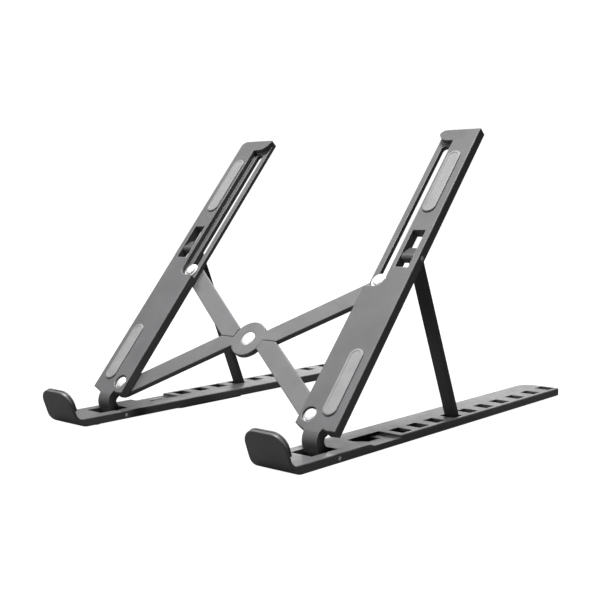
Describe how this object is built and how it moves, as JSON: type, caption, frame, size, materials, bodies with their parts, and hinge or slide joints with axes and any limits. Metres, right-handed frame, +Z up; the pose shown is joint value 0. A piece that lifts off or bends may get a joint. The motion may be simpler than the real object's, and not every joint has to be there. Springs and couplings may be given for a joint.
{
  "type": "laptop stand",
  "caption": "Folding laptop stand: two notched base rails with front hooks, two sloping padded arms on struts, joined by crossed bars.",
  "frame": {"origin": "on the table, under the middle of the stand, at rest opened fully with the arms propped", "axes": "+X to the right, +Y towards the rear along the rails, +Z up; the hooks are at -Y"},
  "size_m": [0.1746, 0.26, 0.1592],
  "materials": {
    "dark_plastic": "satin, nearly black",
    "grey_pad": "soft matt light grey",
    "soft_cover": "soft matt dark grey",
    "bright_steel": "polished"
  },
  "bodies": {
    "left_rail": {"left_base_rail": "dark_plastic", "left_hook_cover": "soft_cover", "left_rail_feet": "soft_cover", "left_hinge_pin": "bright_steel"},
    "left_arm": {"left_side_arm": "dark_plastic", "left_lower_pad": "grey_pad", "left_upper_pad": "grey_pad", "left_pivot_rivet": "bright_steel", "left_pivot_washer": "bright_steel", "left_strut_pin": "bright_steel"},
    "left_prop": {"left_strut": "dark_plastic"},
    "right_rail": {"right_base_rail": "dark_plastic", "right_hook_cover": "soft_cover", "right_rail_feet": "soft_cover", "right_hinge_pin": "bright_steel"},
    "right_arm": {"right_side_arm": "dark_plastic", "right_lower_pad": "grey_pad", "right_upper_pad": "grey_pad", "right_pivot_rivet": "bright_steel", "right_pivot_washer": "bright_steel", "right_strut_pin": "bright_steel"},
    "right_prop": {"right_strut": "dark_plastic"},
    "bar_a": {"cross_bar_a": "dark_plastic", "right_slide_rivet": "bright_steel", "right_slide_washer": "bright_steel", "hub_rivet": "bright_steel"},
    "bar_b": {"cross_bar_b": "dark_plastic", "left_slide_rivet": "bright_steel", "left_slide_washer": "bright_steel"}
  },
  "joints": [
    {"name": "arm_raise", "type": "hinge", "parent": "left_rail", "child": "left_arm", "pos_m": [-0.075, -0.0905, 0.00305], "axis": [1, 0, 0], "range_deg": [0, 50]},
    {"name": "scissor_fold", "type": "hinge", "parent": "left_arm", "child": "bar_a", "pos_m": [-0.0684, -0.08433, 0.01636], "axis": [0, -0.7559, 0.6547], "range_deg": [0, 55.2]},
    {"name": "hub_turn", "type": "hinge", "parent": "bar_a", "child": "bar_b", "pos_m": [0, -0.05795, 0.04681], "axis": [0, -0.7559, 0.6547], "range_deg": [-110.5, 0]},
    {"name": "right_pivot_turn", "type": "hinge", "parent": "bar_b", "child": "right_arm", "pos_m": [0.0684, -0.08433, 0.01636], "axis": [0, -0.7559, 0.6547], "range_deg": [0, 55.3]},
    {"name": "right_rail_turn", "type": "hinge", "parent": "right_arm", "child": "right_rail", "pos_m": [0.075, -0.0905, 0.00305], "axis": [1, 0, 0], "range_deg": [-50.1, 0]},
    {"name": "left_strut_swing", "type": "hinge", "parent": "left_arm", "child": "left_prop", "pos_m": [-0.0799, -0.02498, 0.09183], "axis": [1, 0, 0], "range_deg": [-64, 0]},
    {"name": "right_strut_swing", "type": "hinge", "parent": "right_arm", "child": "right_prop", "pos_m": [0.0799, -0.02498, 0.09183], "axis": [1, 0, 0], "range_deg": [-64, 0]}
  ],
  "couplings": [
    {"joint": "hub_turn", "follows": "scissor_fold", "ratio": -2},
    {"joint": "right_pivot_turn", "follows": "scissor_fold", "ratio": 1},
    {"joint": "right_rail_turn", "follows": "arm_raise", "ratio": -1},
    {"joint": "left_strut_swing", "follows": "arm_raise", "ratio": -1.276},
    {"joint": "right_strut_swing", "follows": "arm_raise", "ratio": -1.276}
  ]
}
